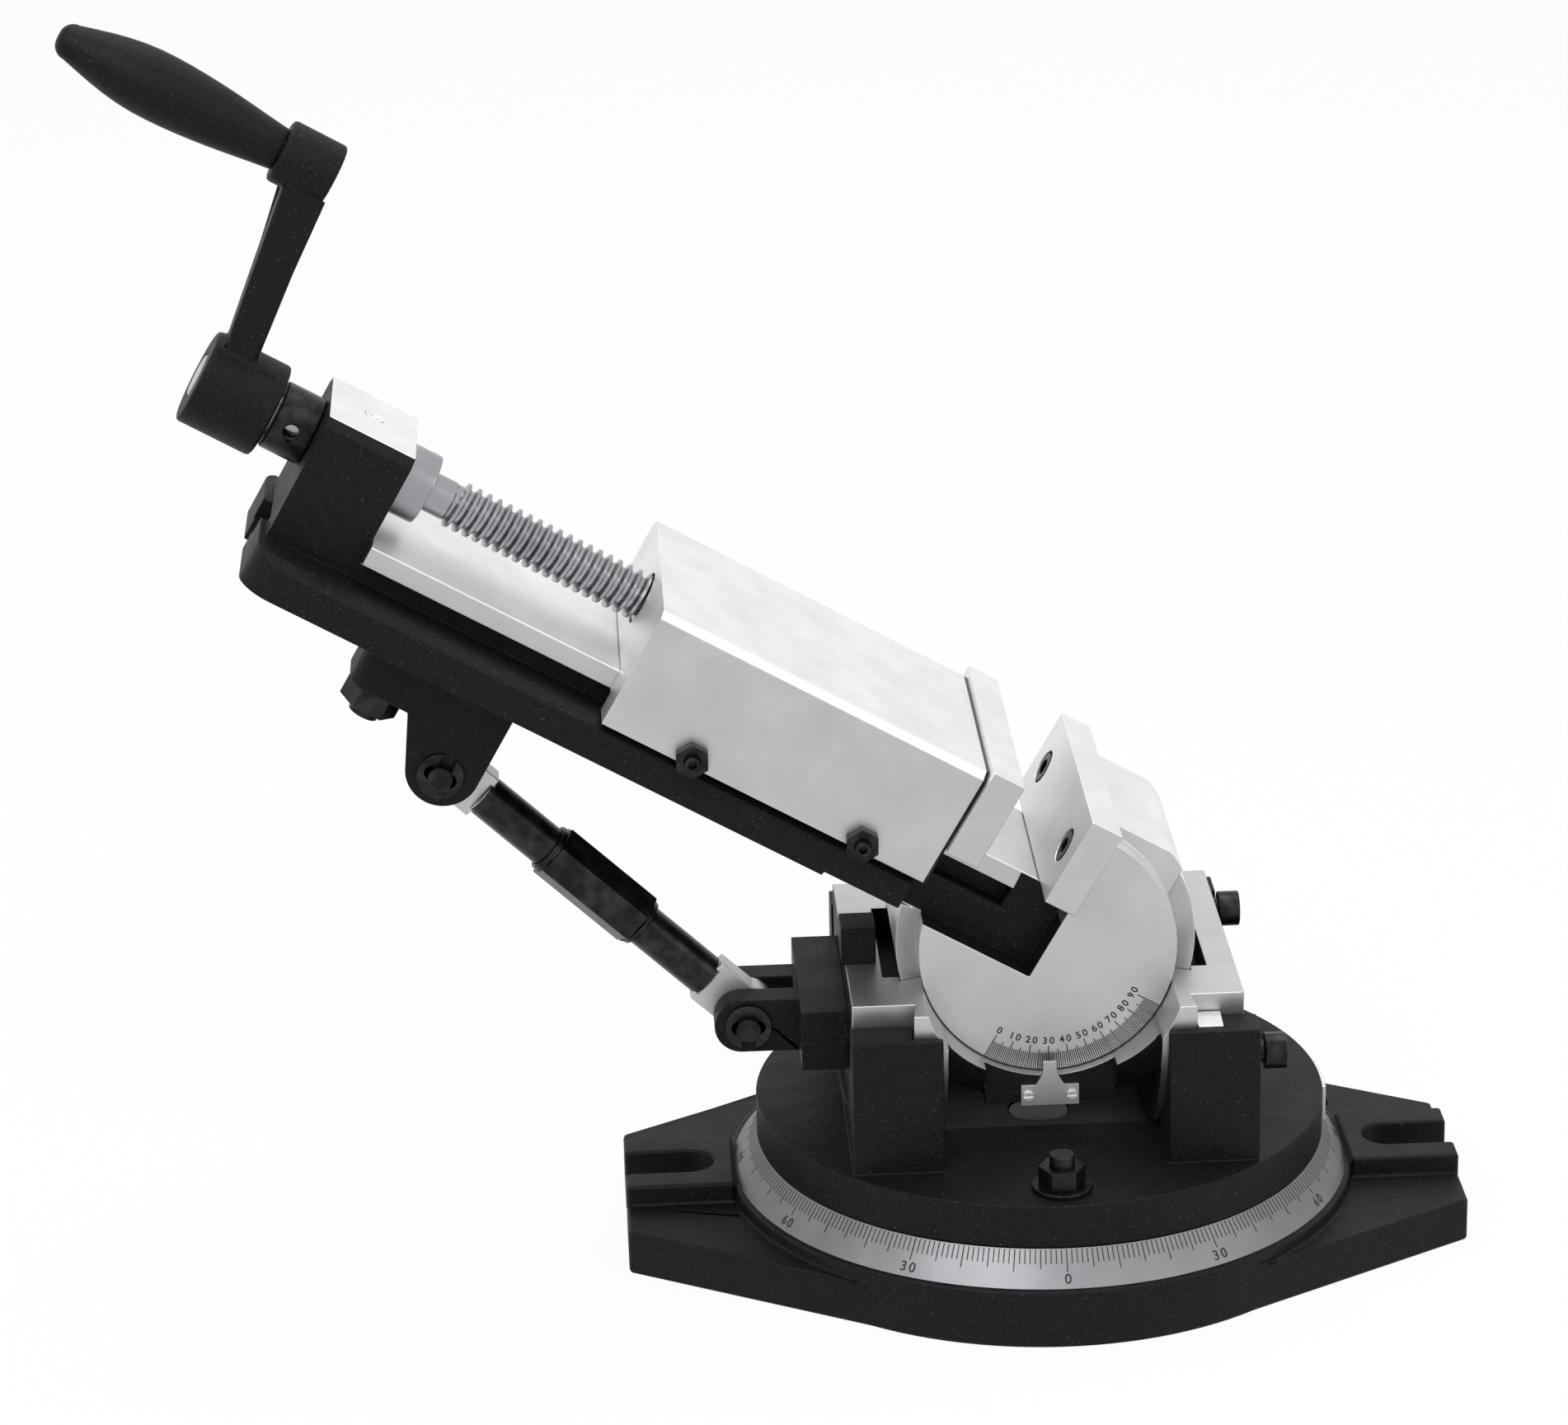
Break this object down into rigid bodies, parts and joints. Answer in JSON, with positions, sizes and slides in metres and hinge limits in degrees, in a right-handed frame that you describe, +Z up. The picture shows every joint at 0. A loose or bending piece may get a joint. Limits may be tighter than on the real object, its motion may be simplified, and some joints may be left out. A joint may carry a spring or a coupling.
{
  "type": "three-axis machine vise",
  "caption": "Three-axis machine vise: swivel base, roll cradle and tilt drum under a screw-driven jaw vise, braced by a turnbuckle.",
  "frame": {"origin": "centre of the base's underside, on the swivel axis", "axes": "+Z up; +X along the base's two lugs, toward the jaw end; +Y away from the front"},
  "size_m": [0.4375, 0.207, 0.4112],
  "materials": {
    "cast_black": "satin",
    "machined": "brushed",
    "plated": "smooth",
    "dark_steel": "satin",
    "bronze": "satin",
    "grip_black": "satin"
  },
  "bodies": {
    "base": {"base_casting": "cast_black", "scale_ring": "machined", "centre_pin": "machined"},
    "turntable": {"turntable": "cast_black", "swivel_t_bolts": "dark_steel", "swivel_washers": "dark_steel", "swivel_nuts": "dark_steel", "index_plate": "machined", "index_plate_screws": "plated", "roll_gib": "machined", "roll_clamp_screw": "dark_steel"},
    "cradle": {"cradle": "cast_black", "tilt_pointer": "machined", "pointer_screws": "plated", "tilt_gib": "machined", "tilt_clamp_screw": "dark_steel", "stop_block": "cast_black", "brace_foot": "cast_black", "foot_screws": "dark_steel", "lower_pin": "dark_steel", "lower_pin_clips": "dark_steel"},
    "lower_rod": {"lower_rod": "dark_steel"},
    "sleeve": {"turnbuckle_sleeve": "dark_steel"},
    "upper_rod": {"upper_rod": "dark_steel"},
    "upper_bracket": {"brace_bracket": "cast_black", "upper_pin": "dark_steel", "upper_pin_clips": "dark_steel", "bracket_t_bolt": "dark_steel", "bracket_nut": "dark_steel"},
    "vise_body": {"vise_body": "cast_black", "fixed_jaw_plate": "machined", "fixed_jaw_screws": "dark_steel", "oil_ball": "plated"},
    "moving_jaw": {"moving_jaw": "machined", "moving_jaw_plate": "machined", "moving_jaw_screws": "dark_steel", "jaw_nut": "bronze", "jaw_keepers": "machined", "keeper_set_screws": "dark_steel", "keeper_lock_nuts": "dark_steel"},
    "screw": {"lead_screw": "machined", "front_collar": "machined", "rear_collar": "dark_steel", "crank": "cast_black", "grip_spindle": "machined"},
    "grip": {"grip": "grip_black"}
  },
  "joints": [
    {"name": "swivel", "type": "hinge", "parent": "base", "child": "turntable", "pos_m": [0, 0, 0.03], "axis": [0, 0, 1], "continuous": true},
    {"name": "cradle_roll", "type": "hinge", "parent": "turntable", "child": "cradle", "pos_m": [0, 0, 0.098], "axis": [1, 0, 0], "range_deg": [-30, 30]},
    {"name": "vise_tilt", "type": "hinge", "parent": "cradle", "child": "vise_body", "pos_m": [-0.0005, 0, 0.11], "axis": [0, 1, 0], "range_deg": [-15, 15]},
    {"name": "screw_turn", "type": "hinge", "parent": "vise_body", "child": "screw", "pos_m": [-0.19051, 0, 0.25689], "axis": [0.866, 0, -0.5], "range_deg": [-6600, 2400]},
    {"name": "jaw_slide", "type": "slide", "parent": "vise_body", "child": "moving_jaw", "axis": [0.866, 0, -0.5], "range_m": [-0.0662, 0.0242]},
    {"name": "grip_spin", "type": "hinge", "parent": "screw", "child": "grip", "pos_m": [-0.26653, 0, 0.38922], "axis": [0.866, 0, -0.5], "continuous": true},
    {"name": "brace_swing", "type": "hinge", "parent": "cradle", "child": "lower_rod", "pos_m": [-0.096, 0, 0.076], "axis": [0, 1, 0], "range_deg": [-25, 25]},
    {"name": "sleeve_spin", "type": "hinge", "parent": "lower_rod", "child": "sleeve", "pos_m": [-0.1442, 0, 0.12167], "axis": [-0.7259, 0, 0.6878], "range_deg": [-1800, 1800]},
    {"name": "brace_stretch", "type": "slide", "parent": "lower_rod", "child": "upper_rod", "axis": [-0.7259, 0, 0.6878], "range_m": [-0.015, 0.015]},
    {"name": "bracket_pivot", "type": "hinge", "parent": "upper_rod", "child": "upper_bracket", "pos_m": [-0.19235, 0, 0.1673], "axis": [0, 1, 0], "range_deg": [-10, 10]}
  ],
  "couplings": [
    {"joint": "jaw_slide", "follows": "screw_turn", "m_per_rad": 0.00057296},
    {"joint": "brace_swing", "follows": "vise_tilt", "ratio": 1.604},
    {"joint": "sleeve_spin", "follows": "vise_tilt", "ratio": -115.19},
    {"joint": "brace_stretch", "follows": "vise_tilt", "m_per_rad": -0.055},
    {"joint": "bracket_pivot", "follows": "vise_tilt", "ratio": -0.604}
  ]
}
